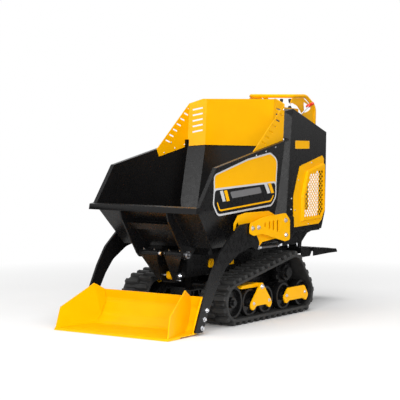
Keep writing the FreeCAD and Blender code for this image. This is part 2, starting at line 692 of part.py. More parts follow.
# Grille: a flat flange on the panel, a sloped step and a raised face round the opening.
GRILLE = [(568, 850, 8), (828, 905, 8), (846, 885, 8), (846, 560, 8), (824, 520, 10), (786, 497, 8), (497, 493, 10),
          (497, 676, 30)]
GRILLE_STEP = [(637, 822, 6), (838, 862, 6), (838, 572, 6), (796, 526, 6), (580, 521, 6), (579, 672, 20)]
GRILLE_OPEN = [(662, 800, 4), (818, 832, 4), (820, 584, 4), (788, 545, 4), (595, 548, 4), (603, 680, 10)]
GRILLE_RISE = 20.0


def shrunk(points, centre, share):
    """An outline moved towards a point by a share of the way."""
    out = []
    for y, z, r in points:
        out.append((y + (centre[0] - y) * share, z + (centre[1] - z) * share, r))
    return out


def make_grille():
    """A pressed frame: its face stands GRILLE_RISE off the flange."""
    x = HOUSING_HALF
    face = shrunk(GRILLE_STEP, (715, 680), 0.045)
    outer = Part.makeLoft([outline(GRILLE_STEP, lambda u, v: Vector(x, u, v)),
                           outline(face, lambda u, v: Vector(x + GRILLE_RISE, u, v))], True, True)
    hollow = Part.makeLoft([outline(shrunk(GRILLE_STEP, (715, 680), 0.02), lambda u, v: Vector(x - 1, u, v)),
                            outline(shrunk(face, (715, 680), 0.02), lambda u, v: Vector(x + GRILLE_RISE - SHEET, u, v))],
                           True, True)
    flange = plate_x(GRILLE, x, x + SHEET)
    return fuse([flange, outer]).cut([hollow, plate_x(GRILLE_OPEN, 200, 400)])


def inside(poly, y, z, margin):
    for i in range(len(poly)):
        a, b = poly[i], poly[(i + 1) % len(poly)]
        dy, dz = b[0] - a[0], b[1] - a[1]
        side = (dy * (z - a[1]) - dz * (y - a[0])) / math.hypot(dy, dz)
        if side > -margin:
            return False
    return True


def make_mesh():
    """A sheet with rows of diamond holes, set in the grille's opening."""
    x = HOUSING_HALF + GRILLE_RISE - SHEET - 2.0
    area = [(654, 803), (823, 838), (825, 582), (790, 541), (590, 544), (598, 684)]
    sheet = plate_x(area, x, x + 2.0)
    wide, tall = 11.0, 11.0
    open_area = [(p[0], p[1]) for p in GRILLE_OPEN]
    holes = []
    row = 0
    z = 556.0
    while z < 832:
        y = 606.0 + (14.0 if row % 2 else 0.0)
        while y < 820:
            if inside(open_area, y, z, 4.0):
                pts = [Vector(x - 1, y - wide, z), Vector(x - 1, y, z - tall), Vector(x - 1, y + wide, z),
                       Vector(x - 1, y, z + tall), Vector(x - 1, y - wide, z)]
                holes.append(Part.Face(Part.makePolygon(pts)).extrude(Vector(4, 0, 0)))
            y += 28.0
        z += 14.0
        row += 1
    return sheet.cut(holes)


def roof_z(y):
    """The roof's height at a Y."""
    run, fall = ROOF_REAR[0] - ROOF_FRONT[0], ROOF_FRONT[1] - ROOF_REAR[1]
    return ROOF_FRONT[1] - (y - ROOF_FRONT[0]) * fall / run


def make_handlebar():
    """A tube round the front of the levers, over them and down behind the housing."""
    s = BAR_HALF
    points = [(-s, BAR_REAR - 6, BAR_END), (-s, BAR_REAR, 1195, 60), (-s, 850, BAR_Z, 90), (-s, BAR_FRONT, BAR_Z, 46),
              (s, BAR_FRONT, BAR_Z, 46), (s, 850, BAR_Z, 90), (s, BAR_REAR, 1195, 60), (s, BAR_REAR - 6, BAR_END)]
    return pipe(points, BAR_R)


def make_handle_side():
    """The sheet that carries the tube on the roof, with its hand hole."""
    under = BAR_Z - BAR_R - 0.3
    back = BAR_REAR - 6 - BAR_R - 0.3
    x0, x1 = BAR_HALF - BAR_SHEET / 2, BAR_HALF + BAR_SHEET / 2
    sheet = plate_x([(672, 1219, 6), (694, under), (822, under), (928, 1190, 8), (back, 1170), (back, BAR_END),
                     (ROOF_REAR[0], ROOF_REAR[1]), (800, roof_z(800)), (800, 1164, 20), (756, 1201, 60),
                     (706, 1218, 6)], x0, x1)
    hole = plate_x([(822, 1228, 10), (888, 1206, 12), (918, 1186, 8), (880, 1168, 16), (832, 1158, 10)], x0 - 1, x1 + 1)
    return sheet.cut(hole)


def make_control_box():
    """The console that the levers stand on, between the handlebar's side sheets."""
    rear = 780.0
    return plate_x([(505, roof_z(505)), (505, 1204, 4), (rear, CONSOLE_REAR_Z, 4), (rear, roof_z(rear))], -142, 142)


def make_engine():
    """One plain block on its mount."""
    return fuse([box(-200, 200, 500, 806, 575, 745), box(-110, 110, 560, 780, 469, 575)])


def make_lever(x):
    """A lever on the console: boot, stem and knob."""
    y = 740.0
    z = 1204 - (y - 505) * (1204 - CONSOLE_REAR_Z) / (780 - 505)
    stem = Part.makeCylinder(4, 40, Vector(0, 0, 0), Vector(0, 0, 1))
    foot = Part.makeCone(11, 6, 9, Vector(0, 0, 0), Vector(0, 0, 1))
    knob = Part.makeCone(7, 10.5, 22, Vector(0, 0, 34), Vector(0, 0, 1))
    shape = fuse([stem, foot, knob])
    shape.rotate(Vector(0, 0, 0), Vector(1, 0, 0), -4.2)
    shape.translate(Vector(x, y, z + 1.0))
    return shape


def make_red_handle():
    """The T-handle that leans back over the roof, beside the left side sheet."""
    foot_y, reach, lean = 640.0, 150.0, 62.0
    stem = Part.makeCylinder(4, reach, Vector(0, 0, 0), Vector(0, 0, 1))
    boot = Part.makeCylinder(9, 12, Vector(0, 0, 8), Vector(0, 0, 1))
    grip = Part.makeCylinder(9, 46, Vector(-23, 0, reach), Vector(1, 0, 0))
    shape = fuse([stem, boot, grip])
    shape.rotate(Vector(0, 0, 0), Vector(0, 0, 1), -25)
    shape.rotate(Vector(0, 0, 0), Vector(1, 0, 0), -lean)
    shape.translate(Vector(228, foot_y, roof_z(foot_y) + 3.0))
    return shape


# Rear step.
def deck_z(y):
    """The top of the step's deck, which falls to the rear."""
    return 356.0 - (y - 715.0) * 0.098


def make_step():
    """The deck on four gussets, with two hinge knuckles in front."""
    front, rear, thick = 862.0, 1136.0, 6.0
    top = plate_x([(front, deck_z(front)), (rear, deck_z(rear)), (rear, deck_z(rear) - thick),
                   (front, deck_z(front) - thick)], -205, 205)
    parts = [top, plate_x([(rear, deck_z(rear)), (STEP_REAR, 296), (STEP_REAR - 5, 292), (rear - 4, deck_z(rear) - thick)],
                          -205, 205)]
    gusset = [(front, deck_z(front)), (rear, deck_z(rear)), (STEP_REAR - 3, 293), (1036, 294), (front, 291)]
    for x in (60.0, 199.0):
        parts += [plate_x(gusset, x, x + 6), plate_x(gusset, -x - 6, -x)]
    knuckle = [rod_x(STEP_PIVOT, 12, 140, 184), plate_x([(850, 342), (870, 339), (870, 334), (850, 328)], 140, 184)]
    parts += knuckle + [mirrored(part) for part in knuckle]
    return fuse(parts).cut(rod_x(STEP_PIVOT, 7.05, -300, 300))


def make_step_bracket():
    """A plate beside each end of the hinge pin, on the chassis rail."""
    plate = plate_x([(732, deck_z(732)), (732, 330), (752, 291, 8), (840, 291, 12), (857, 318, 10), (857, deck_z(857), 8)],
                    185, 193)
    return fuse([plate, rod_x(STEP_PIVOT, 7, 130, 185), box(100, 185, 732, 756, 318, 348)])


def make_lashing_eyes():
    """Four tie-down plates, bolted to the outside of the chassis rails."""
    out = []
    for y in LASHING_Y:
        top, foot = LASHING_Z + 18, LASHING_Z - 30
        plate = plate_x([(y - 22, foot, 4), (y + 22, foot, 4), (y + 20, top, 18), (y - 20, top, 18)], 100, 108)
        plate = plate.cut(rod_x((y, LASHING_Z), LASHING_HOLE_R, 90, 120))
        out += [plate, mirrored(plate)]
    return out


def main():
    save("chassis_frame", make_chassis())
    save("pivot_bracket", make_pivot_bracket())
    save("tip_base_pin", make_tip_pin())
    both("track", make_track())
    both("rollers", make_rollers())
    pair("sprockets", make_sprocket())
    pair("idlers", make_idler())
    pair("track_frames", make_track_frame())
    front, rear = make_bogie_plates()
    pair("bogie_plates_front", front)
    pair("bogie_plates_rear", rear)
    pair("tension_arms", make_tension_arm())
    save("lashing_eyes", *make_lashing_eyes())

    outer, skip = make_skip()
    save("skip_body", skip)
    save("skip_rim", make_rim(outer))
    save("skip_ribs", make_ribs())
    pair("skip_pins", make_skip_pin())
    save("tip_lug", make_tip_lug())
    save("guard", make_guard())
    barrel, rod = cylinder_pair(TIP_BASE, TIP_EYE, 0, 22, 12, 36, 24, 10, 0.78)
    save("tip_barrel", barrel)
    save("tip_rod", rod)

    save("loader_support", make_loader_support())
    both("loader_bracket", make_bracket())
    both("loader_arm", make_arm())
    barrel, rod = cylinder_pair(LIFT_BASE, LIFT_EYE, CYLINDER_X, 15, 8, 18, 14, 8, 0.84)
    both("lift_barrel", barrel)
    both("lift_rod", rod)
    save("bucket_shell", make_bucket())
    save("bucket_edge", make_edge())

    side, front, rear, roof, window = make_housing()
    both("housing_side", side)
    save("housing_front", front)
    save("housing_rear", rear)
    save("housing_roof", roof)
    pair("grille_frames", make_grille())
    pair("grille_meshes", make_mesh())
    save("engine_block", make_engine())
    save("handlebar", make_handlebar())
    pair("handle_sides", make_handle_side())
    save("control_box", make_control_box())
    save("levers", *[make_lever(x) for x in LEVERS_X])
    save("red_handle", make_red_handle())

    save("step_plate", make_step())
    pair("step_brackets", make_step_bracket())


main()
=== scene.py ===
import bmesh
import bpy
import math

from mathutils import Matrix, Vector


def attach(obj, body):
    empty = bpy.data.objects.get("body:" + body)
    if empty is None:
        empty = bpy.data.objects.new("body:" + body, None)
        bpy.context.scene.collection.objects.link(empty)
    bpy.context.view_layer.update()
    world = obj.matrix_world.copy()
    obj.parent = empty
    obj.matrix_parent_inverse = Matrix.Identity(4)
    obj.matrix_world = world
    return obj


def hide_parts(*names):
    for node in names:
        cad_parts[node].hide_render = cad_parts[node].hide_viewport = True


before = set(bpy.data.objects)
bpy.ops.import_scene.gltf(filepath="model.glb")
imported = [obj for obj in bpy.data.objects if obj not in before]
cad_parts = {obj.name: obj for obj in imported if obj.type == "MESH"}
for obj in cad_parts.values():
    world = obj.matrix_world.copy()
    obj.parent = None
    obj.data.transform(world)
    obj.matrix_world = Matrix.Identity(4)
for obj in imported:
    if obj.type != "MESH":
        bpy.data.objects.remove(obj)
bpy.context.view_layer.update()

# The drawing frame of the source in millimetres: +X the machine's left, +Y its rear.
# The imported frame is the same, moved along Y and in metres.
MM = 0.001
SHIFT_Y = -122.5


def at(x, y, z):
    """A point of the drawing frame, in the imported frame."""
    return Vector((x * MM, (y + SHIFT_Y) * MM, z * MM))


# Camera, solved on the photograph's straight edges.
LENS_PX, FRAME_PX, SENSOR = 1667.56, 400.0, 36.0
CAMERA_AT = (5362.6, -7851.0, 1304.4)
BACK = Vector((0.5657, -0.8219, 0.0665)).normalized()


def make_camera():
    """The photograph's camera."""
    data = bpy.data.cameras.new("camera")
    data.sensor_width = SENSOR
    data.lens = LENS_PX / FRAME_PX * SENSOR
    data.clip_end = 100.0
    camera = bpy.data.objects.new("camera", data)
    bpy.context.scene.collection.objects.link(camera)
    camera.location = at(*CAMERA_AT)
    camera.rotation_euler = BACK.to_track_quat("Z", "Y").to_euler()
    bpy.context.scene.camera = camera


make_camera()


# Materials.
def node_tree(name):
    """A new material with its node tree and its shader."""
    material = bpy.data.materials.new(name)
    material.use_nodes = True
    tree = material.node_tree
    shader = tree.nodes["Principled BSDF"]
    return material, tree, shader


def noise(tree, scale, detail=3.0, stretch=None):
    """Noise in the object's own metres."""
    coords = tree.nodes.new("ShaderNodeTexCoord")
    texture = tree.nodes.new("ShaderNodeTexNoise")
    texture.inputs["Scale"].default_value = scale
    texture.inputs["Detail"].default_value = detail
    source = coords.outputs["Object"]
    if stretch:
        mapping = tree.nodes.new("ShaderNodeMapping")
        mapping.inputs["Scale"].default_value = stretch
        tree.links.new(source, mapping.inputs["Vector"])
        source = mapping.outputs["Vector"]
    tree.links.new(source, texture.inputs["Vector"])
    return texture.outputs["Fac"]


def ramp(tree, value, low, high, a, b):
    """Colour a where value is under low, b where it is over high."""
    node = tree.nodes.new("ShaderNodeValToRGB")
    node.color_ramp.elements[0].position = low
    node.color_ramp.elements[1].position = high
    node.color_ramp.elements[0].color = (*a, 1.0)
    node.color_ramp.elements[1].color = (*b, 1.0)
    tree.links.new(value, node.inputs["Fac"])
    return node.outputs["Color"]


def grey(v):
    """A neutral colour."""
    return (v, v, v)


def bump(tree, shader, value, strength, distance):
    """Raises the surface by the value; the distance is in metres."""
    node = tree.nodes.new("ShaderNodeBump")
    node.inputs["Strength"].default_value = strength
    node.inputs["Distance"].default_value = distance
    tree.links.new(value, node.inputs["Height"])
    tree.links.new(node.outputs["Normal"], shader.inputs["Normal"])


def surface(name, colour, spread, rough, grain, depth, metal=0.0, coat=0.0, specular=0.5, patch=9.0):
    """A procedural finish: patches of tone, uneven gloss and a fine grain.

    spread is how far the tone varies, grain and patch are scales per metre, depth is the grain's in metres.
    """
    material, tree, shader = node_tree(name)
    dark = tuple(c * (1.0 - spread) for c in colour)
    light = tuple(min(1.0, c * (1.0 + spread)) for c in colour)
    tree.links.new(ramp(tree, noise(tree, patch), 0.35, 0.65, dark, light), shader.inputs["Base Color"])
    lows, highs = grey(max(0.0, rough - 0.05)), grey(min(1.0, rough + 0.05))
    tree.links.new(ramp(tree, noise(tree, patch * 4.0), 0.3, 0.7, lows, highs), shader.inputs["Roughness"])
    shader.inputs["Metallic"].default_value = metal
    shader.inputs["Coat Weight"].default_value = coat
    shader.inputs["Coat Roughness"].default_value = 0.18
    shader.inputs["Specular IOR Level"].default_value = specular
    bump(tree, shader, noise(tree, grain, 2.0), 0.35, depth)
    return material


YELLOW = (1.0, 0.475, 0.0)
yellow = surface("yellow_satin", YELLOW, 0.03, 0.36, 420.0, 0.00006, specular=0.12)
black = surface("black_satin", (0.0055, 0.0053, 0.0056), 0.1, 0.28, 520.0, 0.00003, specular=0.24)
rubber = surface("track_rubber_aged", (0.016, 0.0158, 0.0155), 0.3, 0.62, 700.0, 0.0003, specular=0.4,
                 patch=30.0)
zinc = surface("zinc", (0.72, 0.73, 0.76), 0.08, 0.28, 900.0, 0.00004, metal=1.0, patch=60.0)
chrome = surface("chrome", (0.83, 0.84, 0.86), 0.02, 0.1, 600.0, 0.00001, metal=1.0)
steel = surface("dark_steel", (0.10, 0.10, 0.105), 0.2, 0.42, 300.0, 0.0002, metal=0.7)
plastic = surface("black_moulded", (0.011, 0.011, 0.012), 0.15, 0.4, 1100.0, 0.0001)
red = surface("red_moulded", (0.78, 0.045, 0.015), 0.08, 0.35, 900.0, 0.00008, coat=0.2)
brass = surface("brass", (0.72, 0.42, 0.14), 0.1, 0.3, 700.0, 0.00005, metal=1.0)
film_white = surface("film_white", (0.62, 0.62, 0.63), 0.03, 0.35, 900.0, 0.00003)
film_yellow = surface("film_yellow", (1.0, 0.475, 0.0), 0.02, 0.32, 900.0, 0.00003, specular=0.12)
film_black = surface("film_black", (0.006, 0.006, 0.0065), 0.1, 0.3, 900.0, 0.00003, specular=0.2)
film_grey = surface("film_grey", (0.16, 0.16, 0.165), 0.05, 0.35, 900.0, 0.00003)
engine_grey = surface("engine_cast", (0.05, 0.05, 0.053), 0.2, 0.55, 260.0, 0.0005)

NODE_FINISH = {
    "black": ["chassis_frame", "pivot_bracket", "skip_body", "skip_rim", "skip_ribs", "tip_lug",
              "loader_support", "loader_arm_l", "loader_arm_r", "lift_barrel_l", "lift_barrel_r",
              "housing_side_l", "housing_side_r", "housing_front", "housing_rear", "housing_roof",
              "rollers_l", "rollers_r", "sprockets", "idlers", "track_frames", "step_plate",
              "step_brackets"],
    "yellow": ["guard", "bucket_shell", "bucket_edge", "loader_bracket_l", "loader_bracket_r",
               "bogie_plates_front", "bogie_plates_rear", "tension_arms", "lashing_eyes", "grille_frames",
               "grille_meshes", "handlebar", "handle_sides", "control_box", "tip_barrel"],
    "rubber": ["track_l", "track_r"],
    "zinc": ["tip_base_pin", "skip_pins"],
    "chrome": ["tip_rod", "lift_rod_l", "lift_rod_r"],
    "plastic": ["levers"],
    "red": ["red_handle"],
    "engine": ["engine_block"],
}
FINISHES = {"black": black, "yellow": yellow, "rubber": rubber, "zinc": zinc, "chrome": chrome,
            "plastic": plastic, "red": red, "engine": engine_grey}

# Edge bevels of the carried-over nodes, in millimetres.
EDGE = 0.8
SPECIAL_EDGE = {"track_l": 1.6, "track_r": 1.6, "grille_meshes": 0.0, "engine_block": 6.0}
SHARP_NODE, SHARP_PIECE = math.radians(28), math.radians(35)


def dress_nodes():
    """Each CAD node gets its finish and a fine edge."""
    for finish, names in NODE_FINISH.items():
        for name in names:
            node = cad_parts[name]
            for slot in node.material_slots:
                slot.material = FINISHES[finish]
            if not node.material_slots:
                node.data.materials.append(FINISHES[finish])
            width = SPECIAL_EDGE.get(name, EDGE)
            weld = node.modifiers.new("weld", "WELD")
            weld.merge_threshold = 0.00001
            if width:
                bevel = node.modifiers.new("bevel", "BEVEL")
                bevel.width = width * MM
                bevel.segments = 2
                bevel.limit_method = "ANGLE"
                bevel.angle_limit = SHARP_NODE
                bevel.use_clamp_overlap = True
                bevel.harden_normals = True


dress_nodes()


# Shapes. Lengths are in the drawing frame's millimetres.
def facing(where, normal, spin=0.0):
    """A place on a surface: Z out along its normal."""
    turn = Vector(normal).to_track_quat("Z", "Y").to_matrix().to_4x4()
    return Matrix.Translation(at(*where)) @ turn @ Matrix.Rotation(spin, 4, "Z") @ Matrix.Scale(MM, 4)


def across(x, mirror=False):
    """The plane X = x: outlines are given in (Y, Z), heights run outwards."""
    side = -1.0 if mirror else 1.0
    return lambda u, v, h: at(side * (x + h), u, v)


def rounded(points, steps=5):
    """Corners (u, v[, radius]) as points, with an arc at each corner that has a radius."""
    out = []
    for i, corner in enumerate(points):
        here = Vector(corner[:2])
        radius = corner[2] if len(corner) > 2 else 0.0
        if radius <= 0:
            out.append(tuple(here))
            continue
        back = (Vector(points[i - 1][:2]) - here).normalized()
        on = (Vector(points[(i + 1) % len(points)][:2]) - here).normalized()
        half = back.angle(on) / 2
        reach = radius / math.tan(half)
        middle = here + (back + on).normalized() * radius / math.sin(half)
        start, end = here + back * reach - middle, here + on * reach - middle
        sweep = start.angle_signed(end)
        for k in range(steps + 1):
            turned = Matrix.Rotation(-sweep * k / steps, 2) @ start
            out.append(tuple(middle + turned))
    return out


class Shape:
    """Collects forms into one mesh that rides on one body."""

    def __init__(self):
        self.bm = bmesh.new()

    def loft(self, rings, slot=0, caps=True):
        """A skin over closed rings of points."""
        rows = [[self.bm.verts.new(p) for p in ring] for ring in rings]
        for a, b in zip(rows, rows[1:]):
            for i in range(len(a)):
                j = (i + 1) % len(a)
                self.bm.faces.new((a[i], a[j], b[j], b[i])).material_index = slot
        if caps:
            self.bm.faces.new(rows[0][::-1]).material_index = slot
            self.bm.faces.new(rows[-1]).material_index = slot

    def turn(self, place, profile, sides=20, slot=0):
        """A turned form from (radius, height) steps along the place's Z."""
        rings = []
        for radius, height in profile:
            ring = []
            for i in range(sides):
                a = 2 * math.pi * i / sides
                ring.append(place @ Vector((radius * math.cos(a), radius * math.sin(a), height)))
            rings.append(ring)
        self.loft(rings, slot)

    def plate(self, plane, points, low, high, slot=0):
        """A flat form on a plane, between two heights."""
        self.loft([[plane(u, v, h) for u, v in points] for h in (low, high)], slot)

    def tube(self, points, radius, sides=12, slot=0):
        """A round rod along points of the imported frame."""
        rings = []
        for i, point in enumerate(points):
            ahead = points[min(i + 1, len(points) - 1)] - points[max(i - 1, 0)]
            turn = ahead.to_track_quat("Z", "Y").to_matrix()
            size = radius(i) if callable(radius) else radius
            ring = []
            for k in range(sides):
                a = 2 * math.pi * k / sides
                ring.append(point + turn @ Vector((size * MM * math.cos(a), size * MM * math.sin(a), 0)))
            rings.append(ring)
        self.loft(rings, slot)

    def bolt(self, where, normal, size=17.0, spin=0.3, slot=0):
        """A hexagon head with its washer; size is the key width."""
        place = facing(where, normal, spin)
        washer = size * 0.16
        self.turn(place, [(size * 0.86, 0.0), (size * 0.88, 0.5), (size * 0.86, washer)], 24, slot)
        corner = size / math.sqrt(3)
        top = washer + size * 0.6
        self.turn(place, [(corner, washer), (corner, top - size * 0.08), (corner * 0.86, top)], 6, slot)

    def rivet(self, where, normal, radius=4.5, slot=0):
        """A domed rivet head."""
        place = facing(where, normal)
        self.turn(place, [(radius, 0.0), (radius * 0.94, radius * 0.3), (radius * 0.7, radius * 0.55),
                          (radius * 0.3, radius * 0.68)], 14, slot)

    def piece(self, name, body, *materials, bevel=0.0, smooth=True):
        """Makes the object, with its materials in slot order, and lets it ride on the body."""
        bmesh.ops.recalc_face_normals(self.bm, faces=self.bm.faces)
        mesh = bpy.data.meshes.new(name)
        self.bm.to_mesh(mesh)
        self.bm.free()
        for material in materials:
            mesh.materials.append(material)
        made = bpy.data.objects.new(name, mesh)
        bpy.context.scene.collection.objects.link(made)
        if smooth:
            mesh.shade_smooth()
            mesh.set_sharp_from_angle(angle=SHARP_PIECE)
        if bevel:
            edge = made.modifiers.new("bevel", "BEVEL")
            edge.width = bevel * MM
            edge.segments = 2
            edge.limit_method = "ANGLE"
            edge.angle_limit = SHARP_PIECE
            edge.use_clamp_overlap = True
        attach(made, body)
        return made


SIDES = (1.0, -1.0)

# Surfaces that the small parts sit on.
SKIP_SIDE, GUARD_SIDE, HOUSING_SIDE = 338.0, 334.0, 280.0
BRACKET_FACE, ARM_FACE, BOGIE_FACE = 405.0, 392.0, 356.0
GRILLE_FLANGE = 283.0
STUD_X = 212.0

# Pins, in (Y, Z).
SKIP_PIVOT, TIP_BASE = (-418.0, 399.0), (-340.0, 270.0)


# Fasteners.
def make_bolts():
    """Hexagon heads on the brackets, housing, link plates and arms."""
    heads = Shape()
    for s in SIDES:
        out = (s, 0, 0)
        for y, z in ((-138, 537), (-77, 538), (208, 560), (212, 476)):
            heads.bolt((s * BRACKET_FACE, y, z), out, 15.0, y * 0.1)
        for y, z in ((477, 664), (473, 601)):
            heads.bolt((s * HOUSING_SIDE, y, z), out, 6.0)
        for y, z in ((552, 769), (512, 594), (699, 866), (666, 504)):
            heads.bolt((s * GRILLE_FLANGE, y, z), out, 5.5, y * 0.1)
        for y in (552, 653):
            stud = facing((s * STUD_X, y, 366), (0, 0, 1))
            heads.turn(stud, [(3.5, 0), (4, 1), (4, 19), (3.5, 20)], 12)
    heads.piece("chassis_bolts", "chassis", zinc, bevel=0.4)
    heads = Shape()
    for s in SIDES:
        out = (s, 0, 0)
        heads.bolt((s * BOGIE_FACE, 38, 194), out, 16.0)
        for y, z in ((-47, 106), (113, 110), (303, 116), (504, 119)):
            heads.bolt((s * BOGIE_FACE, y, z), out, 11.0, y * 0.1)
    heads.piece("bogie_bolts", "chassis", zinc, bevel=0.4)
    heads = Shape()
    for s in SIDES:
        for y, z in ((-566, 127), (-588, 81), (-611, 37)):
            heads.bolt((s * ARM_FACE, y, z), (s, 0, 0), 15.0, z * 0.1)
    heads.piece("arm_bolts", "loader", zinc, bevel=0.4)


def make_rivets():
    """Domed heads where the guard is held on the skip, and on the guard's own folds."""
    heads = Shape()
    for s in SIDES:
        for y, z in ((5, 934), (106, 953), (208, 974)):
            heads.rivet((s * SKIP_SIDE, y, z), (s, 0, 0), 5.0)
        for y, z in ((259, 974), (160, 955), (52, 932), (123, 990)):
            heads.rivet((s * (GUARD_SIDE - 3), y, z), (-s, 0, 0), 5.0)
        for y, z in ((300, 1186), (300, 1015)):
            heads.rivet((s * (GUARD_SIDE - 3), y, z), (-s, 0, 0), 5.0)
            heads.rivet((s * GUARD_SIDE, y, z), (s, 0, 0), 5.0)
    heads.piece("skip_rivets", "skip", zinc)


NIPPLE = [(4.5, -2), (4.5, 3), (3, 4), (2.2, 8), (3, 10)]


def make_pivot_details():
    """Pin bolts, brass pin ends, grease nipples and the collars of the pivot tubes."""
    ends = Shape()
    for s in SIDES:
        pivot = (s * 170, *SKIP_PIVOT)
        ends.bolt(pivot, (s, 0, 0), 18.0)
        lock = facing((s * 170, SKIP_PIVOT[0] - 9, SKIP_PIVOT[1] + 15), (s, 0, 0))
        ends.turn(lock, [(3, 0), (3.4, 3), (2, 6)], 8)
    ends.piece("skip_pin_bolts", "skip", steel, bevel=0.4)
    ends = Shape()
    for s in SIDES:
        inner = facing((s * 14, *SKIP_PIVOT), (-s, 0, 0))
        ends.turn(inner, [(11.5, 0), (11.5, 1), (10, 3), (4, 4)], 24)
    ends.piece("skip_pin_inner_ends", "skip", brass)
    ends = Shape()
    for s in SIDES:
        ends.bolt((s * 60, *TIP_BASE), (s, 0, 0), 16.0)
        lock = facing((s * 60, TIP_BASE[0] - 4, TIP_BASE[1] - 26), (s, 0, 0))
        ends.turn(lock, [(5, -8), (5, 2), (4, 5), (2, 7)], 8)
        for x in (50.0, 122.0):
            place = facing((s * x, SKIP_PIVOT[0] - 12, SKIP_PIVOT[1] + 19), (0, -0.55, 0.84))
            ends.turn(place, NIPPLE, 8)
    ends.piece("pivot_grease_nipples", "chassis", zinc)
    rings = Shape()
    for s in SIDES:
        for x in (27.0, 143.0):
            place = facing((s * x, *SKIP_PIVOT), (s, 0, 0))
            rings.turn(place, [(23, -3), (25.5, -2.5), (25.5, 2.5), (23, 3)], 32)
    rings.piece("pivot_tube_collars", "chassis", black)


# Plain decal, blank plates and trim.
# Outlines in (Y, Z, corner radius). Films lie in thin layers, so that none shares a plane.
DECAL_FIELD = [(-410, 836, 22), (-80, 908, 40), (150, 936, 40), (222, 900, 46), (208, 771, 4),
               (-408, 757, 4)]
DECAL_RIM = [(-420, 842, 30), (-82, 918, 44), (152, 946, 46), (232, 906, 54), (217, 760, 6),
             (-420, 746, 6)]
BAND = [(-409, 757, 22), (-419, 682, 40), (-380, 626, 40), (164, 650, 50), (205, 694, 40),
        (206, 770, 20)]
BAND_RIM = [(-419, 768, 26), (-430, 680, 46), (-386, 615, 46), (168, 640, 58), (215, 690, 48),
            (217, 780, 26)]
BAND_LINE = [(-392, 690, 4), (-366, 641, 26), (160, 665, 36), (190, 700, 4), (182, 703, 2), (154, 674, 30),
             (-360, 650, 20), (-384, 692, 2)]
GREY_BAR = [(-262, 742, 6), (40, 755, 6), (62, 720, 6), (-240, 706, 6)]
FLASHES = [((-362, 752), (-332, 754), (-306, 694), (-334, 692)),
           ((84, 771), (116, 773), (152, 715), (122, 713))]
FLASH_STEP = 40


def make_decal():
    """A generic pattern of plain films on each side of the skip."""
    for s, tag in zip(SIDES, "lr"):
        plane = across(SKIP_SIDE, s < 0)
        sign = Shape()
        sign.plate(plane, rounded(DECAL_RIM), 0.0, 0.3, 0)
        sign.plate(plane, rounded(DECAL_FIELD), 0.3, 0.5, 1)
        sign.plate(plane, rounded(BAND_RIM), 0.3, 0.7, 0)
        sign.plate(plane, rounded(BAND), 0.7, 0.9, 2)
        sign.plate(plane, rounded(BAND_LINE), 0.9, 1.1, 1)
        for flash in FLASHES:
            sign.plate(plane, flash, 0.9, 1.1, 0)
            sign.plate(plane, [(y + FLASH_STEP, z) for y, z in flash], 0.9, 1.1, 1)
        sign.plate(plane, rounded(GREY_BAR), 0.9, 1.1, 3)
        sign.piece("decal_" + tag, "skip", film_white, film_yellow, film_black, film_grey, smooth=False)


def make_plates():
    """The small sign's place on the housing, left blank."""
    plates = Shape()
    for s in SIDES:
        plane = across(HOUSING_SIDE, s < 0)
        outline = rounded([(510, 1008, 4), (684, 1002, 4), (684, 944, 4), (510, 948, 4)])
        plates.plate(plane, outline, 0.0, 1.2, 0)
        inner = rounded([(516, 1002, 3), (678, 996, 3), (678, 950, 3), (516, 954, 3)])
        plates.plate(plane, inner, 1.2, 1.6, 1)
        for y, z in ((521, 997), (673, 992), (521, 959), (673, 955)):
            plates.rivet((s * (HOUSING_SIDE + 1.6), y, z), (s, 0, 0), 2.5, 2)
    plates.piece("blank_plates", "chassis", black, film_yellow, zinc, smooth=False)


# Controls.
LEVERS_X, LEVERS_Y = (-49.0, 0.0, 45.0, 105.0), 740.0
BOOT = [(15, -0.8), (15, 1.5), (12, 2), (13, 4), (10, 6), (11, 8), (8, 10), (9, 12), (5, 15)]
STALK = [(4, 10), (4, 40)]
KNOB = [(5.5, 33), (7.5, 35), (8.5, 41), (10.3, 48), (10.3, 52), (8.5, 55.5), (4, 57)]


def console_z(y):
    """Height of the console's sloping top."""
    return 1204 - (y - 505) * (1204 - 1184) / (780 - 505)


def make_levers():
    """Four short levers with bellows on the console."""
    for x, tag in zip(LEVERS_X, "abcd"):
        place = facing((x, LEVERS_Y, console_z(LEVERS_Y) + 1), (0, 0.0733, 1))
        lever = Shape()
        lever.turn(place, BOOT, 20, 0)
        lever.turn(place, STALK, 12, 1)
        lever.turn(place, KNOB, 20, 2)
        made = lever.piece("lever_" + tag, "chassis", rubber, zinc, plastic)
        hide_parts("levers")


GRIP = [(5, -31), (8.5, -28), (10, -20), (9.2, -8), (9.5, 0), (9.2, 8), (10, 20), (8.5, 28), (5, 31)]


def roof_z(y):
    """Height of the housing's sloping roof."""
    return 1188.0 + (y - 499.0) * (1044.0 - 1188.0) / (880.0 - 499.0)


def make_red_handle():
    """The red pull on the roof: a rod in a rubber boot with a cross grip."""
    place = Matrix.Translation(at(228, 640, roof_z(640.0) + 3.0))
    place = place @ Matrix.Rotation(math.radians(-62), 4, "X") @ Matrix.Rotation(math.radians(-25), 4, "Z")
    place = place @ Matrix.Scale(MM, 4)
    handle = Shape()
    handle.turn(place, [(4, 0.4), (4, 140)], 14, 0)
    handle.turn(place, [(9, 7), (10.5, 9), (9, 12), (10, 15), (7.5, 18), (5, 22)], 20, 1)
    handle.turn(place, [(6, 128), (8, 131), (8.5, 140), (8, 150)], 20, 2)
    grip = place @ Matrix.Translation((0, 0, 150)) @ Matrix.Rotation(math.radians(90), 4, "Y")
    handle.turn(grip, GRIP, 24, 2)
    made = handle.piece("red_pull", "chassis", zinc, rubber, red)
    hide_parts("red_handle")


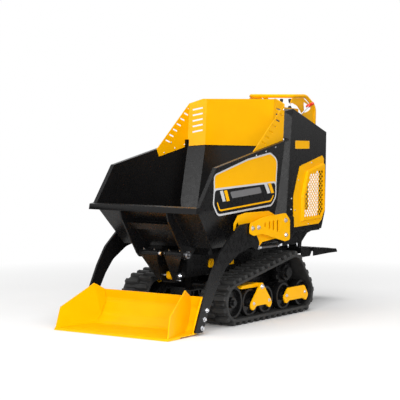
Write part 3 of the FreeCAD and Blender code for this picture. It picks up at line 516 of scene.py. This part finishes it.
# Track. The belt runs round the idler, the rear bend and the sprocket: (centre in (Y, Z), radius).
BENDS = (((-215.0, 127.0), 91.0), ((508.0, 113.0), 77.0), ((393.0, 238.0), 92.0))
TRACK_IN, TRACK_WIDTH = 180.0, 180.0
BELT, LUG, PITCH = 16.0, 20.0, 60.0
BELT_STEPS = 150
LUG_FOOT, LUG_DRAFT, LUG_CROWN = BELT - 1, 0.18, 4.0
RIB_TOP, RIB_DRAFT, RIB_CROWN = BELT + 6, 0.3, 2.0


def track_path():
    """The belt's inner line as straight and round runs: (length, place at a distance)."""
    normals = []
    for i, (centre, radius) in enumerate(BENDS):
        following, after = BENDS[(i + 1) % len(BENDS)]
        along = Vector(following) - Vector(centre)
        lean = (radius - after) / along.length
        along.normalize()
        normals.append(along * lean + Vector((along.y, -along.x)) * math.sqrt(1 - lean * lean))
    runs = []
    for i, (centre, radius) in enumerate(BENDS):
        middle = Vector(centre)
        before, here = normals[i - 1], normals[i]
        start = math.atan2(before.y, before.x)
        sweep = (math.atan2(here.y, here.x) - start) % (2 * math.pi)
        runs.append(("round", (radius + BELT) * sweep, middle, radius, start, sweep))
        following, after = BENDS[(i + 1) % len(BENDS)]
        a, b = middle + here * radius, Vector(following) + here * after
        runs.append(("straight", (b - a).length, a, b, here))
    return runs


def track_place(runs, distance):
    """The point of the belt's inner face and its outward direction, both in (Y, Z)."""
    for run in runs:
        if distance <= run[1]:
            break
        distance -= run[1]
    if run[0] == "straight":
        _, length, a, b, out = run
        return a + (b - a) * distance / length, out
    _, length, middle, radius, start, sweep = run
    turned = start + sweep * distance / length
    out = Vector((math.cos(turned), math.sin(turned)))
    return middle + out * radius, out


def make_track(tag, s):
    """A rubber belt with staggered tread blocks, an outer and an inner one by turns."""
    runs = track_path()
    total = sum(run[1] for run in runs)
    track = Shape()
    inner, outer = TRACK_IN, TRACK_IN + TRACK_WIDTH
    section = [(inner, 3), (inner + 3, 0), (outer - 3, 0), (outer, 3), (outer, 13), (outer - 3, BELT),
               (inner + 3, BELT), (inner, 13)]
    rings = []
    for i in range(BELT_STEPS + 1):
        point, out = track_place(runs, total * (i % BELT_STEPS) / BELT_STEPS)
        rings.append([at(s * x, point.x + out.x * h, point.y + out.y * h) for x, h in section])
    track.loft(rings, 0, caps=False)

    def block(distance, footprint, low, high, draft, crown):
        """A drafted block; its footprint is in (X, along the belt)."""
        point, out = track_place(runs, distance % total)
        on = Vector((-out.y, out.x))
        mid_x = sum(x for x, _ in footprint) / len(footprint)
        mid_t = sum(t for _, t in footprint) / len(footprint)
        rings = []
        for height, share in ((low, 0.0), (high - crown, draft), (high, draft + 0.12)):
            ring = []
            for x, t in footprint:
                x, t = x + (mid_x - x) * share * 0.4, t + (mid_t - t) * share
                spot = point + out * height + on * t
                ring.append(at(s * x, spot.x, spot.y))
            rings.append(ring)
        track.loft(rings)

    def lug(distance, edge, side):
        """A tall block from the belt's edge towards its middle; side is 1 for the outer edge."""
        outline = [(edge, -15), (edge, 13), (middle + side * 34, 19), (middle - side * 8, 12),
                   (middle - side * 8, -10), (middle + side * 34, -17)]
        block(distance, outline, LUG_FOOT, BELT + LUG, LUG_DRAFT, LUG_CROWN)

    def rib(distance, edge, side):
        """A low rib across the belt's other half, between two lugs."""
        outline = [(edge, -9), (edge, 9), (middle + side * 12, 7), (middle + side * 12, -7)]
        block(distance, outline, LUG_FOOT, RIB_TOP, RIB_DRAFT, RIB_CROWN)

    middle = inner + TRACK_WIDTH / 2
    count = round(total / PITCH)
    for i in range(count):
        here = total * i / count
        between = here + total / count / 2
        lug(here, outer - 4, 1)
        lug(between, inner + 4, -1)
        rib(between, outer - 20, 1)
        rib(here, inner + 20, -1)
    made = track.piece("tread_" + tag, "chassis", rubber, bevel=1.5)
    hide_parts("track_" + tag)


# Step, pipes and welds.
DECK_SLOPE = 0.098
STUD_GRID = (-186.0, 31.0, 13), (880.0, 26.0, 10)


def deck_z(y):
    """Height of the step's sloping deck."""
    return 356.0 - (y - 715.0) * DECK_SLOPE


def make_step_tread():
    """Raised studs on the step's deck, turned by turns, clear of its rounded rear corners."""
    studs = Shape()
    up = Vector((0, DECK_SLOPE, 1)).normalized()
    (left, across_step, columns), (front, along_step, rows) = STUD_GRID
    for row in range(rows):
        y = front + row * along_step
        for column in range(columns):
            x = left + column * across_step
            if (abs(x) > 180 and y > 1110) or y > 1126:
                continue
            spin = math.radians(45 if (row + column) % 2 else -45)
            place = facing((x, y, deck_z(y) - 0.3), up, spin)
            ring = [(-10, 0), (-6, 2.6), (6, 2.6), (10, 0), (6, -2.6), (-6, -2.6)]
            low = [place @ Vector((u, v, 0)) for u, v in ring]
            top = [place @ Vector((u * 0.8, v * 0.6, 2.2)) for u, v in ring]
            studs.loft([low, top])
    studs.piece("step_studs", "step", black)


PIPE_Z = 415.0
ELBOW = [(4, 0), (7, 1), (7, 10), (5.5, 11), (5.5, 16), (8, 17), (8, 22)]
ELBOW_NUT = [(5, 0), (5, 8), (8, 9), (8, 18), (6, 19)]
END_NUT = [(8, 0), (8.5, 1), (8.5, 12), (6, 13), (6, 24)]


def make_pipes():
    """The rigid pipe of each lift cylinder, with its fittings."""
    pipes = Shape()
    for s in SIDES:
        x = s * 366
        pipes.turn(facing((x, -15, 408), (0, 0, 1)), ELBOW, 6, 1)
        pipes.turn(facing((x, -10, 417), (0, 1, 0)), ELBOW_NUT, 6, 1)
        run = [at(x, y, z) for y, z in ((2, 417), (60, 416), (130, PIPE_Z), (190, PIPE_Z))]
        pipes.tube(run, 6.5, 14, 0)
        pipes.turn(facing((x, 186, PIPE_Z), (0, 1, 0)), END_NUT, 6, 1)
        pipes.turn(facing((s * 374, 214, 411), (0, 0, 1)), [(5, 0), (8, 1), (8, 13.5)], 16, 1)
        pipes.tube([at(x, 208, PIPE_Z), at(s * 374, 214, 416)], 5, 10, 1)
    pipes.piece("lift_pipes", "chassis", steel, zinc)


def bead(shape, start, end, radius=3.0):
    """A rippled weld between two points of the drawing frame."""
    a, b = at(*start), at(*end)
    steps = max(6, int((b - a).length / (MM * 2.5)))
    points = [a + (b - a) * i / steps for i in range(steps + 1)]
    shape.tube(points, lambda i: radius * (0.85 + 0.15 * math.cos(i * 2.1)), 8)


def make_welds():
    """Beads along the skip's ribs and channel, the bracket and the chassis plates."""
    welds = Shape()
    for s in SIDES:
        for x in (150.0, 163.0):
            bead(welds, (s * x, -555, 630), (s * x, -392, 451))
        bead(welds, (s * 151, -509, 579), (s * 151, -547, 572))
        bead(welds, (s * 151, -547, 572), (s * 151, -517, 537))
    bead(welds, (-150, -509, 581), (150, -509, 581))
    welds.piece("skip_welds", "skip", black)
    welds = Shape()
    for s in SIDES:
        bead(welds, (s * 53, -385, 384), (s * 53, -383, 300), 2.6)
        bead(welds, (s * 208, 340, 461), (s * 208, 800, 461), 2.0)
    welds.piece("chassis_welds", "chassis", black)


def make_rear_skirt():
    """The folded strip that closes the underside between the side plates, in front of the step."""
    outline = [(-200.4, 380.4), (200.4, 380.4), (200.4, 356), (192, 350), (-192, 350), (-200.4, 356)]
    skirt = Shape()
    skirt.loft([[at(x, y, z) for x, z in outline] for y in (685.0, 690.0)])
    skirt.piece("rear_skirt", "chassis", black, bevel=0.6)


def make_details():
    make_bolts()
    make_rivets()
    make_pivot_details()
    make_decal()
    make_plates()
    make_levers()
    make_red_handle()
    for s, tag in zip(SIDES, "lr"):
        make_track(tag, s)
    make_step_tread()
    make_pipes()
    make_welds()
    make_rear_skirt()


make_details()


# Studio.
def area_light(name, where, target, size, power, tall=None):
    """A soft lamp, size metres wide, that looks at the target."""
    data = bpy.data.lights.new(name, "AREA")
    data.shape = "RECTANGLE"
    data.size = size
    data.size_y = tall or size
    data.energy = power
    light = bpy.data.objects.new(name, data)
    bpy.context.scene.collection.objects.link(light)
    light.location = where
    light.rotation_euler = (Vector(where) - Vector(target)).to_track_quat("Z", "Y").to_euler()


AMBIENT, WHITE = 0.42, 1.0


def pale_world():
    """A plain grey light all round, which the camera, metal and glass see as white."""
    world = bpy.data.worlds.new("studio")
    bpy.context.scene.world = world
    world.use_nodes = True
    tree = world.node_tree
    back = tree.nodes["Background"]
    path = tree.nodes.new("ShaderNodeLightPath")
    seen = tree.nodes.new("ShaderNodeMath")
    seen.operation = "MAXIMUM"
    tree.links.new(path.outputs["Is Camera Ray"], seen.inputs[0])
    glossy = tree.nodes.new("ShaderNodeMath")
    glossy.operation = "MAXIMUM"
    tree.links.new(path.outputs["Is Glossy Ray"], glossy.inputs[0])
    tree.links.new(path.outputs["Is Transmission Ray"], glossy.inputs[1])
    tree.links.new(glossy.outputs[0], seen.inputs[1])
    mix = tree.nodes.new("ShaderNodeMapRange")
    mix.inputs["To Min"].default_value = AMBIENT
    mix.inputs["To Max"].default_value = WHITE
    tree.links.new(seen.outputs[0], mix.inputs["Value"])
    tree.links.new(mix.outputs["Result"], back.inputs["Strength"])
    back.inputs["Color"].default_value = (1, 1, 1, 1)


# The floor keeps the shadow near the object and fades to the white backdrop, metres from the middle.
FLOOR_NEAR, FLOOR_FAR, FLOOR_HALF = 1.3, 3.2, 30.0


def make_floor():
    """A pale floor that keeps the object's shadow."""
    mesh = bpy.data.meshes.new("floor")
    corners = [(x * FLOOR_HALF, y * FLOOR_HALF, 0) for x, y in ((-1, -1), (1, -1), (1, 1), (-1, 1))]
    mesh.from_pydata(corners, [], [(0, 1, 2, 3)])
    floor = bpy.data.objects.new("floor", mesh)
    bpy.context.scene.collection.objects.link(floor)
    floor.location.z = -0.0005
    material, tree, shader = node_tree("floor_white")
    shader.inputs["Roughness"].default_value = 0.9
    shader.inputs["Specular IOR Level"].default_value = 0.1
    tone = ramp(tree, noise(tree, 0.8), 0.4, 0.6, grey(0.86), grey(0.88))
    tree.links.new(tone, shader.inputs["Base Color"])
    coords = tree.nodes.new("ShaderNodeTexCoord")
    away = tree.nodes.new("ShaderNodeVectorMath")
    away.operation = "LENGTH"
    tree.links.new(coords.outputs["Object"], away.inputs[0])
    fade = ramp(tree, away.outputs["Value"], 0.0, 1.0, grey(0.0), grey(1.0))
    scale = tree.nodes.new("ShaderNodeMapRange")
    scale.inputs["From Min"].default_value = FLOOR_NEAR
    scale.inputs["From Max"].default_value = FLOOR_FAR
    tree.links.new(away.outputs["Value"], scale.inputs["Value"])
    tree.links.new(scale.outputs["Result"], fade.node.inputs["Fac"])
    glow = tree.nodes.new("ShaderNodeEmission")
    path = tree.nodes.new("ShaderNodeLightPath")
    tree.links.new(path.outputs["Is Camera Ray"], glow.inputs["Strength"])
    mix = tree.nodes.new("ShaderNodeMixShader")
    tree.links.new(fade, mix.inputs["Fac"])
    tree.links.new(shader.outputs["BSDF"], mix.inputs[1])
    tree.links.new(glow.outputs["Emission"], mix.inputs[2])
    tree.links.new(mix.outputs["Shader"], tree.nodes["Material Output"].inputs["Surface"])
    mesh.materials.append(material)


def make_studio():
    bpy.context.scene.view_settings.view_transform = "Standard"
    pale_world()
    make_floor()
    target = (0, -0.1, 0.6)
    area_light("key", (3.55, -4.85, 1.75), target, 5.8, 330, 2.9)
    area_light("top", (0.0, -0.4, 5.0), target, 4.0, 170)


make_studio()
